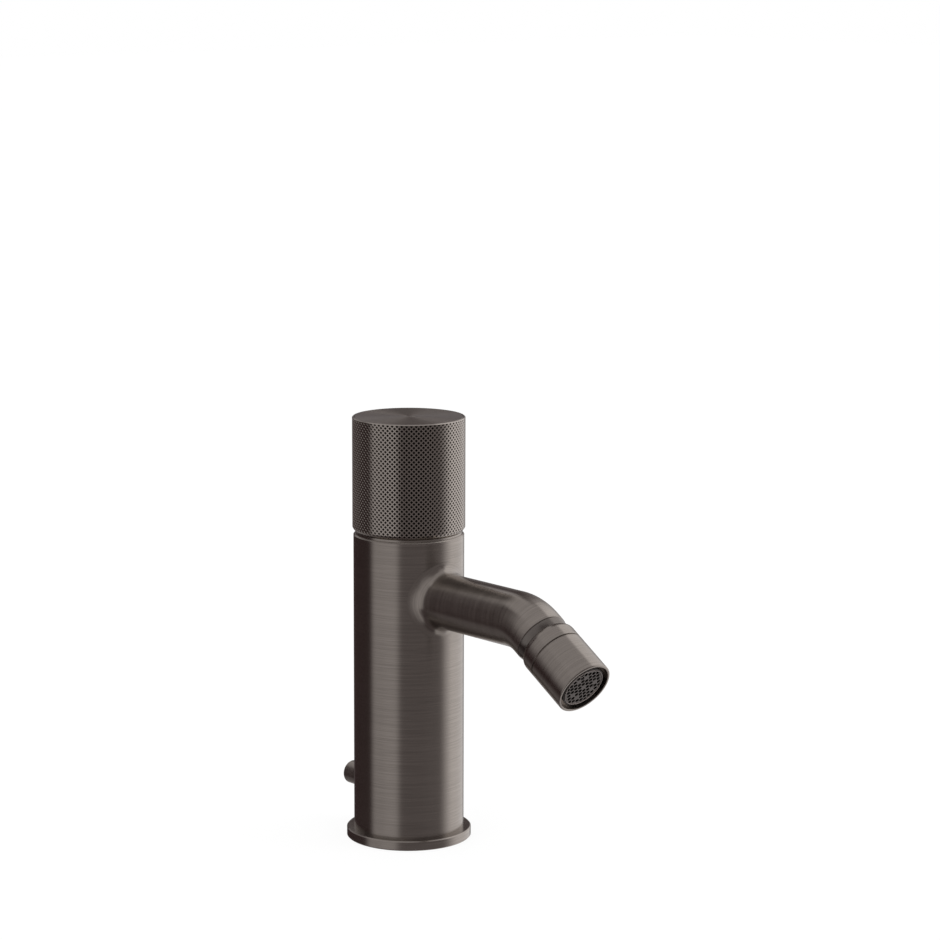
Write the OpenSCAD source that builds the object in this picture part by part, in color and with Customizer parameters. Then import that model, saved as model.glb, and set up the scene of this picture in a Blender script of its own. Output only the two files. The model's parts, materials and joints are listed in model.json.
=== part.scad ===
// Bidet mixer with one turning knob on top, a bent spout with a swivelling
// aerator head, and a pull knob for the waste at the back.
// Millimetres, +Z up. The origin is the centre of the base on the deck, and
// the spout points towards -Y.

/* [Base flange] */
// How far the flange stands out past the body
flange_rim = 3; // [1.5:0.25:8]
// Height of the flange
flange_h = 4; // [3:0.25:10]
// Chamfer on the outer edges of the flange
flange_edge = 0.4; // [0.2:0.1:0.9]
// Height of the flange's collar inside the body
flange_collar_h = 3; // [1:0.5:5]
// Depth of the seal groove under the flange
seal_depth = 1.5; // [1:0.25:1.75]
// Width of the seal under the flange
seal_w = 3.4; // [2:0.2:3.6]

/* [Body] */
// Outer diameter of the body
body_d = 45; // [44:0.5:60]
// Wall of the body round the inlet core and the cartridge's nut
body_wall = 2.5; // [1.5:0.1:6]
// Height of the body's top edge above the deck
body_h = 126.5; // [115:0.5:180]
// Chamfer on the body's top edge
body_edge = 0.5; // [0.2:0.1:1]
// Height of the inner shoulder that carries the inlet core
shoulder_z = 46; // [42:1:60]
// How far that shoulder stands in from the bore
shoulder_step = 1.5; // [1:0.25:2.5]

/* [Inlet core] */
// Thread diameter of the two hose inlets
inlet_d = 10; // [8:0.5:12]
// Depth of the hose inlets
inlet_depth = 12; // [8:0.5:20]
// Distance between the two hose inlets
inlet_pitch = 17; // [15:0.5:20]
// How far the hose inlets lie behind the body's axis
inlet_back = 5; // [4:0.25:6]
// Thread diameter of the fixing stud
stud_d = 8; // [6:0.5:10]
// Depth of the stud's hole
stud_depth = 14; // [8:0.5:22]
// How far the stud lies in front of the body's axis
stud_front = 11; // [9:0.25:13]
// Radius of the mixed water's cross passage
cross_r = 6; // [4:0.25:7]
// Depth of the ring chamber that feeds the spout
chamber_depth = 3.6; // [2.5:0.2:4]
// Depth of the grooves for the core's rings
ring_groove = 1.7; // [1.4:0.1:2.2]

/* [Cartridge] */
// Wall of the cartridge housing
cartridge_wall = 1.5; // [1.2:0.1:2]
// How far the cartridge's seat lies below the body's top
seat_depth = 12.5; // [11:0.25:16]
// Land between the inlet ports' seals and the edge of the port base
port_land = 1.2; // [0.8:0.1:1.6]
// Radius of the inlet ports
port_r = 2.8; // [2.2:0.1:3]
// Angle of each inlet port either side of the back
port_spread = 30; // [28:1:34]
// Radius of the outlet port
outlet_r = 4.5; // [3.5:0.1:4.8]
// How far the outlet port lies in front of the axis
outlet_front = 6; // [5.8:0.1:6.8]
// Thickness of the port base
base_t = 3; // [2.5:0.25:4]
// Thickness of each ceramic disc
disc_t = 3.5; // [3:0.25:5]
// Thickness of the flange on the turning stem
stem_flange_t = 2.5; // [2:0.25:4]
// Diameter of the turning stem
stem_d = 10; // [9:0.25:12]
// Width across the stem's two flats
stem_flat = 8; // [6.5:0.25:8.5]
// Length of the housing's neck round the stem
neck_len = 7; // [5:0.5:10]
// How far the knob turns from shut to hot
knob_turn = 100; // [90:5:110]

/* [Retaining nut and trim ring] */
// Wall of the nut round the cartridge
nut_wall = 2.3; // [2:0.1:3]
// How far the nut's thread reaches into the body
nut_reach = 8.5; // [6:0.5:10]
// Thickness of the nut's top
nut_top = 3; // [2:0.25:5]
// Height of the trim ring in the gap below the knob
trim_h = 1; // [0.6:0.1:2]
// How far the trim ring stands in from the body's side
trim_inset = 0.8; // [0.6:0.1:1.2]

/* [Knob] */
// How far the knob stands out past the body
knob_proud = 0.4; // [0:0.1:2]
// Height of the knob
knob_h = 46.4; // [42:0.2:70]
// Running gap between the knob and the trim ring
knob_gap = 0.3; // [0.3:0.05:1]
// Height of the chamfer at the knob's lower edge
knob_foot_h = 1.3; // [0.5:0.1:2]
// Depth of the chamfer at the knob's lower edge
knob_foot_in = 0.9; // [0.3:0.1:1.2]
// Bevel on the knob's top edge
knob_bevel = 0.5; // [0.2:0.05:0.6]
// Wall left outside the knob's top disc
knob_rim = 0.8; // [0.75:0.05:1.2]
// Thickness of the knob's top disc
knob_cap_t = 1.5; // [1:0.25:2.5]
// Thickness of the knob's inner web
web_t = 4; // [3:0.25:6]
// Outer diameter of the knob's hub
hub_d = 18; // [16:0.5:22]
// Diameter of the hub's spigot through the web
hub_spigot_d = 12; // [9:0.5:13]
// Diameter of the knob screw
screw_d = 4; // [3:0.5:5]

/* [Spout] */
// Outer diameter of the spout
spout_d = 22.4; // [21:0.2:26]
// Wall of the spout
spout_wall = 2.2; // [1.9:0.1:3]
// From the spout's axis up to the cartridge's seat
spout_below_seat = 12; // [11.5:0.25:25]
// From the body's axis to the start of the bend
spout_reach = 67; // [50:1:120]
// Radius of the bend along the spout's axis
bend_r = 22; // [18:0.5:40]
// Angle of the bend, down from level
bend_angle = 31.5; // [20:0.5:50]
// Straight length after the bend
spout_tail = 3.6; // [3:0.1:10]
// How far the fillet reaches from the spout's root, along the body and along the spout
root_fillet = 4.5; // [2:0.1:8]

/* [Swivel joint] */
// Diameter of the ball
ball_d = 14.4; // [13.4:0.2:14.8]
// How far the ball's centre lies inside the spout's end
ball_inset = 1.1; // [0.6:0.1:1.8]
// Diameter of the ball's stem
ball_stem_d = 9.2; // [8.4:0.1:9.6]
// Bore of the ball and its stem
ball_bore_d = 6.8; // [5:0.1:7]
// Swivel angle each way, in each of two directions
swivel_tilt = 10; // [6:0.5:10.5]
// Thickness of the slip ring
slip_t = 0.5; // [0.4:0.05:0.6]
// Width of the slip ring along the outlet's axis
slip_w = 1.9; // [1:0.1:2.2]
// From the ball's centre to the slip ring
slip_from = 7; // [6.8:0.1:7.4]

/* [Aerator head] */
// Outer diameter of the aerator head
head_d = 23.74; // [23.4:0.02:25]
// From the ball's centre to the upper ring's lip
lip_from = 4.5; // [4.2:0.1:4.7]
// Length of the upper ring
cap_len = 7.05; // [6.5:0.05:10]
// Radius of the upper ring's shoulder
cap_shoulder = 3.45; // [3:0.05:4]
// Width of the groove below the upper ring
groove_w = 0.5; // [0.3:0.1:1]
// Depth of the groove below the upper ring
groove_depth = 0.5; // [0.3:0.1:0.7]
// Length of the sleeve
sleeve_len = 18.45; // [17:0.05:30]
// Length of the thread between the upper ring and the sleeve
cap_thread_len = 6.95; // [6:0.05:8]
// Wall of the sleeve round that thread
sleeve_wall = 1.22; // [1:0.02:1.4]
// Rounding of the sleeve's outer edge at the outlet
sleeve_round = 0.7; // [0.4:0.1:0.9]
// Radius of the recess round the aerator at the outlet
recess_r = 10.4; // [10.2:0.1:10.6]
// Depth of that recess
recess_depth = 3.5; // [2:0.25:4.5]
// Diameter of the aerator
aerator_d = 18.6; // [18:0.1:19]
// Wall of the aerator
aerator_wall = 0.95; // [0.8:0.05:1.2]
// How far the aerator's rim lies inside the outlet
aerator_inset = 0.5; // [0.3:0.1:1.5]
// Thickness of the honeycomb
comb_t = 1.5; // [1:0.25:3]
// Spacing of the honeycomb's cells
comb_pitch = 1.98; // [1.8:0.02:2.4]
// Wall between the honeycomb's cells
comb_wall = 0.6; // [0.4:0.05:0.8]
// Thickness of the aerator's washer
washer_t = 1.5; // [1:0.25:2]
// Thickness of the aerator's screen
screen_t = 0.6; // [0.4:0.1:1]
// Thickness of the flow regulator
regulator_t = 3.4; // [2:0.2:4]

/* [Waste pull] */
// Diameter of the pull knob
pull_d = 9.6; // [7:0.1:14]
// Length of the pull knob
pull_len = 11.5; // [8:0.5:14]
// How far the pull knob's end stands out from the body
pull_out = 15.5; // [15:0.5:25]
// Height of the pull knob's axis at its lowest
pull_z = 18.6; // [17:0.2:25]
// Diameter of the pull knob's neck
pull_neck_d = 5; // [4:0.25:5.5]
// Diameter of the lift rod
rod_d = 5; // [4.5:0.25:5.25]
// Gap between the lift rod and the wall of the flange's passage
rod_gap = 0.9; // [0.6:0.05:1]
// How far the lift rod rises
rod_travel = 12; // [8:0.5:12]

/* [Fits] */
// Radial clearance of screwed, pressed and seated pieces
fit = 0.05; // [0.03:0.01:0.06]
// Radial clearance of turning and sliding pieces
run = 0.08; // [0.05:0.01:0.1]

/* [Hidden] */
$fn = 96;
eps = 0.01;
bronze = [0.30, 0.27, 0.25];
brass = [0.78, 0.65, 0.38];
plastic = [0.92, 0.91, 0.88];
nylon = [0.20, 0.20, 0.21];
seal_black = [0.09, 0.09, 0.09];
ceramic = [0.95, 0.94, 0.90];
steel = [0.72, 0.72, 0.73];

// Radii of the body and of what fits inside it
body_r = body_d / 2;
bore_r = body_r - body_wall;
nut_r = bore_r - fit;
nut_bore_r = nut_r - nut_wall - fit;
cartridge_r = nut_bore_r - 2 * fit;
lower_bore_r = bore_r - shoulder_step;
collar_wall = 2.1;
passage_r = lower_bore_r - collar_wall;
core_r = bore_r - fit;
flange_r = body_r + flange_rim;
seal_out_r = body_r + flange_rim / 3;

// Heights, from the top of the body down
seat_z = body_h - seat_depth;
spout_z = seat_z - spout_below_seat;
chamber_room = 1.5;
chamber_half = cross_r + chamber_room;
chamber_top = spout_z + chamber_half;
chamber_low = spout_z - chamber_half;
ring_h = ring_groove + 0.3;
ring_r = (ring_groove + fit) / 2 - 0.02;
ring_land = 1;
upper_ring_z = (seat_z + chamber_top) / 2;
lower_ring_z = chamber_low - ring_h - ring_land;
port_lap = 4;

// Heights inside the cartridge
cavity_r = cartridge_r - cartridge_wall;
fixed_z = seat_z + base_t;
moving_z = fixed_z + disc_t + fit;
flange_z = moving_z + disc_t;
roof_z = flange_z + stem_flange_t + 2 * run;
roof_t = 2.5;
neck_z = roof_z + roof_t;
neck_top = neck_z + neck_len;
stem_r = stem_d / 2;
neck_wall = 3;
neck_r = stem_r + neck_wall;
seal_t = 1.2;
seal_land = 1.2;
port_circle = cavity_r - port_land - seal_land - port_r;
disc_gap = 0.9;
moving_r = cavity_r - disc_gap;
pocket_land = 0.6;
pocket_r = port_circle - port_r - pocket_land;
pocket_lap = 0.4;
pocket_lead = 10;
pocket_from = pocket_lead - port_spread;
pocket_span = 60;
tenon_w = 3;
tenon_h = 1;
stem_gap = 0.3;
stem_ring_r = 0.6;
stem_groove = 2 * stem_ring_r;
stem_groove_h = 2;
stem_ring_z = neck_z + neck_len / 2;
lug_angle = 24;
stop_play = 1.5;
stop_wall = 2.2;
stop_r = cavity_r - stop_wall;
tenon_end = 1;
nut_eye_gap = 1.5;
nut_eye_r = neck_r + nut_eye_gap;
nut_key_w = 4;
nut_key_h = 1.5;

// The knob, from its foot up
trim_r = body_r - trim_inset;
trim_top = body_h + trim_h;
knob_r = body_r + knob_proud;
knob_z = trim_top + knob_gap;
knob_top = knob_z + knob_h;
knob_bore_gap = 0.45;
knob_bore_r = nut_r + knob_bore_gap;
nut_z = body_h - nut_reach;
nut_top_z = neck_z + nut_top;
hub_gap = 1;
hub_z = neck_top + hub_gap;
stem_grip = 11;
stem_top = hub_z + stem_grip;
hub_roof = 2;
web_z = stem_top + hub_roof;
hub_flange_w = 3;
hub_flange_r = hub_d / 2 + hub_flange_w;
hub_flange_t = 4;
screw_r = screw_d / 2;
screw_head_w = 1.6;
screw_head_r = screw_r + screw_head_w;
screw_head_h = 3.2;
screw_key_r = 0.8 * screw_r;
washer_z = web_z + web_t;
knob_washer_t = 1;
knob_washer_lap = 3;
knob_washer_r = hub_spigot_d / 2 + knob_washer_lap;
screw_bite = 6;
screw_low = stem_top - screw_bite;
cap_r = knob_r - knob_rim - 2 * fit;
cap_skirt_h = 3;
cap_skirt_wall = 2;

// The spout and the ball's centre at its end
spout_r = spout_d / 2;
spout_bore_r = spout_r - spout_wall;
spigot_step = 1;
spigot_r = spout_r - spigot_step;
root_sink = 0.03;
tail_step = 0.02;
tail_lap = 0.5;
end_y = -spout_reach - bend_r * sin(bend_angle);
end_z = spout_z - bend_r * (1 - cos(bend_angle));

// The swivel joint, along the outlet's axis from the ball's centre
ball_r = ball_d / 2;
dome_r = spout_r;
dome_from = ball_inset;
stub_step = 1.25;
stub_r = spout_r - stub_step - fit;
stub_back = -6.1;
cage_wall = 1.1;
cage_r = ball_r + cage_wall;
cage_back = -1.5;
retainer_t = 1.8;
retainer_from = stub_back + retainer_t;
retainer_gap = 0.35;
socket_washer_t = 1;
washer_lap = 0.4;
ball_stem_r = ball_stem_d / 2;
ball_back = -4;
corner_tilt = acos(cos(swivel_tilt) * cos(swivel_tilt));
mouth_gap = 0.35;
slip_gap = 0.1;
slip_in = dome_r + slip_gap;
slip_out = slip_in + slip_t;
cavity_ball_r = slip_out + slip_gap;
slip_play = 0.8;
lip_to = cavity_ball_r * cos(acos(slip_from / slip_out) + swivel_tilt + slip_play);
lip_in = 1.07;

// The aerator head, along the same axis
head_r = head_d / 2;
cap_to = lip_from + cap_len;
sleeve_from = cap_to + groove_w;
outlet_at = sleeve_from + sleeve_len;
cap_thread_r = head_r - sleeve_wall - fit;
cap_thread_to = cap_to + cap_thread_len;
cap_seat_h = 3;
cap_floor = cap_thread_to - cap_seat_h;
cap_seat_wall = 1.8;
cap_bore_r = cap_thread_r - cap_seat_wall;
thread_end_gap = 0.1;
washer_w = 2.6;
aerator_r = aerator_d / 2;
thread_bore_r = aerator_r + fit;
aerator_from = cap_thread_to + washer_t;
aerator_to = outlet_at - aerator_inset;
aerator_bore_r = aerator_r - aerator_wall;
screen_r = aerator_bore_r - fit;
screen_pitch = 2.1;
screen_hole_r = 0.7;
screen_rings = 3;
regulator_rim = 1.5;
regulator_hub_r = 2.5;
regulator_holes = 12;
regulator_from = aerator_from + screen_t;
plate_from = regulator_from + regulator_t;
plate_inset = 0.2;
plate_to = aerator_to - plate_inset;
plate_wall = 0.5;
cell_r = (comb_pitch - comb_wall) / 2 / cos(30);
comb_rings = 4;

// The waste pull
rod_r = rod_d / 2;
rod_low = 0.6;
rod_engage = 5;
rod_back = passage_r - rod_gap - rod_r;
rod_top = shoulder_z + rod_engage;
rod_end_gap = 1;
rod_hole_top = rod_top + rod_travel + rod_end_gap;
pull_r = pull_d / 2;
pull_neck_r = pull_neck_d / 2;
pull_end = body_r + pull_out;
pull_head_from = pull_end - pull_len;
pull_pin_r = 1.5;
pull_edge = 0.6;
slot_gap = 0.3;
slot_half = pull_neck_r + slot_gap;
guide_from = flange_h + flange_collar_h;
guide_gap = 0.6;
guide_to = pull_z - pull_neck_r - guide_gap;
guide_boss_wall = 1.9;
guide_boss_r = rod_r + guide_boss_wall;

// A tube standing on z = 0
module tube(r_out, r_in, h) {
    difference() {
        cylinder(r = r_out, h = h);
        translate([0, 0, -eps]) cylinder(r = r_in, h = h + 2 * eps);
    }
}

// Puts the children at the spout's end, with z = 0 at the ball's centre and +Z out of the outlet
module at_ball() {
    translate([0, end_y, end_z]) rotate([90 + bend_angle, 0, 0])
        translate([0, 0, spout_tail - ball_inset]) children();
}

// Lays a child that stands on +Z along -Y at the spout's height
module at_spout() {
    translate([0, 0, spout_z]) rotate([90, 0, 0]) children();
}

// Puts the children at each inlet port
module at_ports() {
    for (side = [-1, 1])
        rotate([0, 0, 90 + side * port_spread]) translate([port_circle, 0, 0]) children();
}

module base_flange() {
    color(bronze) difference() {
        union() {
            cylinder(r1 = flange_r - flange_edge, r2 = flange_r, h = flange_edge);
            translate([0, 0, flange_edge]) cylinder(r = flange_r, h = flange_h - 2 * flange_edge);
            translate([0, 0, flange_h - flange_edge])
                cylinder(r1 = flange_r, r2 = flange_r - flange_edge, h = flange_edge);
            translate([0, 0, flange_h - eps])
                cylinder(r = lower_bore_r - 2 * fit, h = flange_collar_h + eps);
        }
        translate([0, 0, -eps]) cylinder(r = passage_r, h = flange_h + flange_collar_h + 2 * eps);
        translate([0, 0, -eps]) tube(seal_out_r, seal_out_r - seal_w, seal_depth + eps);
    }
}

module base_seal() {
    color(seal_black) tube(seal_out_r - fit, seal_out_r - seal_w + fit, seal_depth);
}

module body_shell() {
    color(bronze) difference() {
        union() {
            translate([0, 0, flange_h]) cylinder(r = body_r, h = body_h - body_edge - flange_h);
            translate([0, 0, body_h - body_edge])
                cylinder(r1 = body_r, r2 = body_r - body_edge, h = body_edge);
        }
        translate([0, 0, shoulder_z]) cylinder(r = bore_r, h = body_h - shoulder_z + 1);
        translate([0, 0, flange_h - 1]) cylinder(r = lower_bore_r, h = shoulder_z - flange_h + 2);
        at_spout() cylinder(r = spigot_r + fit, h = body_r + 1);
        slot();
    }
}

// The upright slot in the back of the body for the pull knob's neck
module slot() {
    for (rise = [0, rod_travel])
        translate([0, 0, pull_z + rise]) rotate([-90, 0, 0]) cylinder(r = slot_half, h = body_r + 1);
    translate([-slot_half, 0, pull_z]) cube([2 * slot_half, body_r + 1, rod_travel]);
}

// A point of the cubic curve with the four control points p, for k from 0 to 1
function cubic(p, k) =
    pow(1 - k, 3) * p[0] + 3 * k * pow(1 - k, 2) * p[1] + 3 * k * k * (1 - k) * p[2] + pow(k, 3) * p[3];

// The fillet between body and spout. It reaches equally far along both surfaces, so it is tight above and
// below and wide at the sides. Its inner faces lie inside the spout's wall, and its edge on the spout lies
// root_sink below the surface, so that it joins the spout cleanly.
module spout_fillet() {
    rs = spout_r - root_sink;
    rb = body_r + fit + root_sink;
    inner = (spout_bore_r + spigot_r) / 2;
    around = 72;
    across = 8;
    seat_steps = 6;
    on_body = function(x, z) [x, -sqrt(rb * rb - x * x), z];
    section = function(a)
        let (
            root = on_body(rs * cos(a), rs * sin(a)),
            root_turn = asin(root.x / rb),
            out = let (v = [cos(a) * cos(root_turn), sin(a)]) v / norm(v),
            turn = root_turn + out.x * root_fillet / rb * 180 / PI,
            body_foot = [rb * sin(turn), -rb * cos(turn), root.z + out.y * root_fillet],
            spout_foot = root - [0, root_fillet, 0],
            back = -[out.x * cos(turn), out.x * sin(turn), out.y],
            arc = acos(-back.y),
            pull = 4 / 3 * tan(arc / 4) / tan(arc / 2) * root_fillet,
            curve = [spout_foot, spout_foot + [0, pull, 0], body_foot + pull * back, body_foot],
            edge = [body_foot.x, body_foot.z],
            low = inner * [cos(a), sin(a)]
        )
        concat(
            [for (i = [0:across]) cubic(curve, i / across)],
            [for (i = [1:seat_steps]) let (p = edge + (low - edge) * i / seat_steps) on_body(p.x, p.y)],
            [[low.x, spout_foot.y, low.y]]
        );
    n = across + seat_steps + 2;
    points = [for (j = [0:around - 1]) each section(j * 360 / around)];
    faces = [for (j = [0:around - 1]) for (i = [0:n - 1])
        let (a = j * n + i, b = j * n + (i + 1) % n, k = ((j + 1) % around) * n)
        each [[a, k + i, b], [b, k + i, k + (i + 1) % n]]];
    translate([0, 0, spout_z]) polyhedron(points, faces, convexity = 6);
}

module spout_tube() {
    color(bronze) difference() {
        union() {
            difference() {
                at_spout() cylinder(r = spout_r, h = spout_reach);
                cylinder(r = body_r + fit, h = body_h);
            }
            at_spout() cylinder(r = spigot_r, h = spout_reach / 2);
            spout_fillet();
            spout_bend(spout_r);
            at_ball() translate([0, 0, ball_inset - spout_tail - tail_lap])
                cylinder(r = spout_r - tail_step, h = spout_tail + tail_lap);
        }
        at_spout() translate([0, 0, -1]) cylinder(r = spout_bore_r, h = spout_reach + 1);
        spout_bend(spout_bore_r);
        at_ball() translate([0, 0, stub_back - socket_washer_t])
            cylinder(r = stub_r + fit, h = ball_inset - stub_back + socket_washer_t + 1);
        cylinder(r = bore_r, h = body_h);
    }
}

// The bent stretch of the spout, as a solid bar of radius r
module spout_bend(r) {
    translate([0, -spout_reach, spout_z - bend_r]) rotate([180, -90, 0])
        rotate_extrude(angle = bend_angle) translate([bend_r, 0]) circle(r = r);
}

module inlet_core() {
    channel_low = shoulder_z + inlet_depth - port_lap;
    channel_top = seat_z + 1;
    color(brass) difference() {
        translate([0, 0, shoulder_z]) cylinder(r = core_r, h = seat_z - shoulder_z);
        for (side = [-1, 1])
            translate([side * inlet_pitch / 2, inlet_back, shoulder_z - 1])
                cylinder(r = inlet_d / 2, h = inlet_depth + 1);
        translate([0, -stud_front, shoulder_z - 1]) cylinder(r = stud_d / 2, h = stud_depth + 1);
        translate([0, 0, channel_low]) at_ports()
            cylinder(r = port_r, h = channel_top - channel_low);
        translate([0, -outlet_front, spout_z]) cylinder(r = outlet_r, h = channel_top - spout_z);
        translate([0, -outlet_front, 0]) at_spout() cylinder(r = cross_r, h = core_r);
        translate([0, 0, chamber_low]) tube(core_r + 1, core_r - chamber_depth, 2 * chamber_half);
        for (z = [lower_ring_z, upper_ring_z])
            translate([0, 0, z - ring_h / 2]) tube(core_r + 1, bore_r - ring_groove - fit, ring_h);
        translate([0, rod_back, shoulder_z - 1])
            cylinder(r = rod_r + run, h = rod_hole_top - shoulder_z + 1);
    }
}

module core_o_rings() {
    color(seal_black) for (z = [lower_ring_z, upper_ring_z]) translate([0, 0, z])
        rotate_extrude() translate([bore_r - (ring_groove + fit) / 2, 0]) circle(r = ring_r);
}

module port_seals() {
    color(seal_black) translate([0, 0, seat_z]) {
        at_ports() tube(port_r + seal_land - fit, port_r + fit, seal_t);
        translate([0, -outlet_front, 0]) tube(outlet_r + seal_land - fit, outlet_r + fit, seal_t);
    }
}

module cartridge_base() {
    color(plastic) translate([0, 0, seat_z]) difference() {
        cylinder(r = cavity_r - fit, h = base_t);
        port_holes(base_t);
        translate([0, 0, -eps]) at_ports() cylinder(r = port_r + seal_land, h = seal_t + eps);
        translate([0, -outlet_front, -eps]) cylinder(r = outlet_r + seal_land, h = seal_t + eps);
    }
}

// Holes through a plate of thickness h in line with the inlet and outlet ports
module port_holes(h) {
    translate([0, 0, -1]) at_ports() cylinder(r = port_r, h = h + 2);
    translate([0, -outlet_front, -1]) cylinder(r = outlet_r, h = h + 2);
}

module fixed_disc() {
    color(ceramic) translate([0, 0, fixed_z]) difference() {
        cylinder(r = cavity_r - fit, h = disc_t);
        port_holes(disc_t);
    }
}

// Ceramic disc whose pocket joins an inlet port to the outlet as the knob turns
module moving_disc() {
    pocket_h = disc_t / 2;
    arc_from = pocket_r - pocket_lap;
    color(ceramic) translate([0, 0, moving_z]) difference() {
        cylinder(r = moving_r, h = disc_t);
        translate([0, 0, -eps]) cylinder(r = pocket_r, h = pocket_h + eps);
        translate([0, 0, -eps]) rotate([0, 0, pocket_from]) rotate_extrude(angle = pocket_span)
            translate([arc_from, 0]) square([port_circle + port_r - arc_from, pocket_h + eps]);
        translate([-moving_r - 1, -tenon_w / 2 - fit, disc_t - tenon_h - fit])
            cube([2 * moving_r + 2, tenon_w + 2 * fit, tenon_h + 1]);
    }
}

// Stem with a stop lug on its flange and a tenon below that turns the disc
module cartridge_stem() {
    tenon_half = stop_r - tenon_end;
    color(plastic) difference() {
        union() {
            translate([0, 0, flange_z]) cylinder(r = stop_r - stem_gap, h = stem_flange_t);
            translate([0, 0, flange_z]) rotate([0, 0, -lug_angle / 2]) rotate_extrude(angle = lug_angle)
                translate([stop_r - 1, 0]) square([cavity_r - stem_gap - stop_r + 1, stem_flange_t]);
            translate([-tenon_half, -tenon_w / 2, flange_z - tenon_h])
                cube([2 * tenon_half, tenon_w, tenon_h + eps]);
            translate([0, 0, flange_z]) cylinder(r = stem_r, h = stem_top - flange_z);
        }
        for (turn = [0, 180]) rotate([0, 0, turn])
            translate([stem_flat / 2, -stem_r - 1, hub_z])
                cube([stem_r, 2 * stem_r + 2, stem_top - hub_z + 1]);
        translate([0, 0, screw_low - 1]) cylinder(r = screw_r + fit, h = stem_top - screw_low + 2);
        translate([0, 0, stem_ring_z - stem_groove_h / 2])
            tube(stem_r + 1, stem_r - stem_groove, stem_groove_h);
    }
}

module stem_o_ring() {
    color(seal_black) translate([0, 0, stem_ring_z]) rotate_extrude()
        translate([stem_r - stem_groove + stem_ring_r + fit, 0]) circle(r = stem_ring_r);
}

// Housing with the stop that limits the stem's lug
module cartridge_housing() {
    stop_z = flange_z + stem_gap;
    stop_from = lug_angle / 2 + knob_turn + stop_play;
    stop_span = 360 - knob_turn - lug_angle - 2 * stop_play;
    color(plastic) difference() {
        union() {
            translate([0, 0, seat_z]) tube(cartridge_r, cavity_r, roof_z - seat_z + eps);
            translate([0, 0, stop_z]) rotate([0, 0, stop_from]) rotate_extrude(angle = stop_span)
                translate([stop_r, 0]) square([cavity_r - stop_r + eps, roof_z - stop_z + eps]);
            translate([0, 0, roof_z]) cylinder(r = cartridge_r, h = roof_t);
            translate([0, 0, neck_z - eps]) cylinder(r = neck_r, h = neck_len + eps);
        }
        translate([0, 0, roof_z - 1]) cylinder(r = stem_r + run, h = neck_top - roof_z + 2);
    }
}

module retaining_nut() {
    color(brass) difference() {
        translate([0, 0, nut_z]) cylinder(r = nut_r, h = nut_top_z - nut_z);
        translate([0, 0, nut_z - 1]) cylinder(r = nut_bore_r, h = neck_z - nut_z + 1);
        translate([0, 0, neck_z - 1]) cylinder(r = nut_eye_r, h = nut_top + 2);
        for (a = [0, 90]) rotate([0, 0, a])
            translate([-nut_r - 1, -nut_key_w / 2, nut_top_z - nut_key_h])
                cube([2 * nut_r + 2, nut_key_w, nut_key_h + 1]);
    }
}

module trim_ring() {
    color(bronze) translate([0, 0, body_h]) tube(trim_r, nut_r + fit, trim_h);
}

module knob_adapter() {
    color(nylon) difference() {
        union() {
            translate([0, 0, hub_z]) cylinder(r = hub_d / 2, h = web_z - hub_z);
            translate([0, 0, web_z - hub_flange_t]) cylinder(r = hub_flange_r, h = hub_flange_t);
            translate([0, 0, web_z - eps]) cylinder(r = hub_spigot_d / 2, h = web_t + eps);
        }
        intersection() {
            translate([0, 0, hub_z - 1]) cylinder(r = stem_r + fit, h = stem_top - hub_z + 1);
            translate([-stem_flat / 2 - fit, -stem_r - 1, hub_z - 1])
                cube([stem_flat + 2 * fit, 2 * stem_r + 2, stem_top - hub_z + 1]);
        }
        translate([0, 0, stem_top - 1]) cylinder(r = screw_r + fit, h = web_z + web_t - stem_top + 2);
    }
}

module knob_sleeve() {
    recess_z = knob_top - knob_cap_t;
    color(bronze) difference() {
        union() {
            translate([0, 0, knob_z]) cylinder(r1 = knob_r - knob_foot_in, r2 = knob_r, h = knob_foot_h);
            translate([0, 0, knob_z + knob_foot_h])
                cylinder(r = knob_r, h = knob_h - knob_foot_h - knob_bevel);
            translate([0, 0, knob_top - knob_bevel])
                cylinder(r1 = knob_r, r2 = knob_r - knob_bevel, h = knob_bevel);
        }
        translate([0, 0, knob_z - 1]) cylinder(r = knob_bore_r, h = web_z - knob_z + 1);
        translate([0, 0, web_z + web_t]) cylinder(r = knob_bore_r, h = knob_top - web_z - web_t + 1);
        translate([0, 0, web_z - 1]) cylinder(r = hub_spigot_d / 2 + fit, h = web_t + 2);
        translate([0, 0, recess_z]) cylinder(r = knob_r - knob_rim, h = knob_cap_t + 1);
    }
}

module knob_washer() {
    color(steel) translate([0, 0, washer_z]) tube(knob_washer_r, screw_r + fit, knob_washer_t);
}

module knob_screw() {
    head_z = washer_z + knob_washer_t;
    color(steel) difference() {
        union() {
            translate([0, 0, screw_low]) cylinder(r = screw_r, h = head_z - screw_low + eps);
            translate([0, 0, head_z]) cylinder(r = screw_head_r, h = screw_head_h);
        }
        translate([0, 0, head_z + screw_head_h / 3])
            cylinder(r = screw_key_r, h = screw_head_h, $fn = 6);
    }
}

module knob_cap() {
    cap_z = knob_top - knob_cap_t;
    color(bronze) union() {
        translate([0, 0, cap_z]) cylinder(r = cap_r, h = knob_cap_t);
        translate([0, 0, cap_z - cap_skirt_h])
            tube(knob_bore_r - fit, knob_bore_r - fit - cap_skirt_wall, cap_skirt_h + eps);
    }
}

// Threaded stub and dome that hold the ball from outside
module swivel_socket() {
    color(bronze) at_ball() difference() {
        union() {
            translate([0, 0, stub_back]) cylinder(r = stub_r, h = dome_from - stub_back + eps);
            intersection() {
                sphere(r = dome_r);
                translate([0, 0, dome_from]) cylinder(r = dome_r + 1, h = dome_r);
            }
        }
        translate([0, 0, stub_back - 1]) cylinder(r = cage_r, h = cage_back - stub_back + 1);
        translate([0, 0, cage_back - eps]) cylinder(r = ball_r + run, h = -cage_back + eps);
        sphere(r = ball_r + run);
        cylinder(r1 = mouth_r(0), r2 = mouth_r(dome_r + 1), h = dome_r + 1);
    }
}

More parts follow.
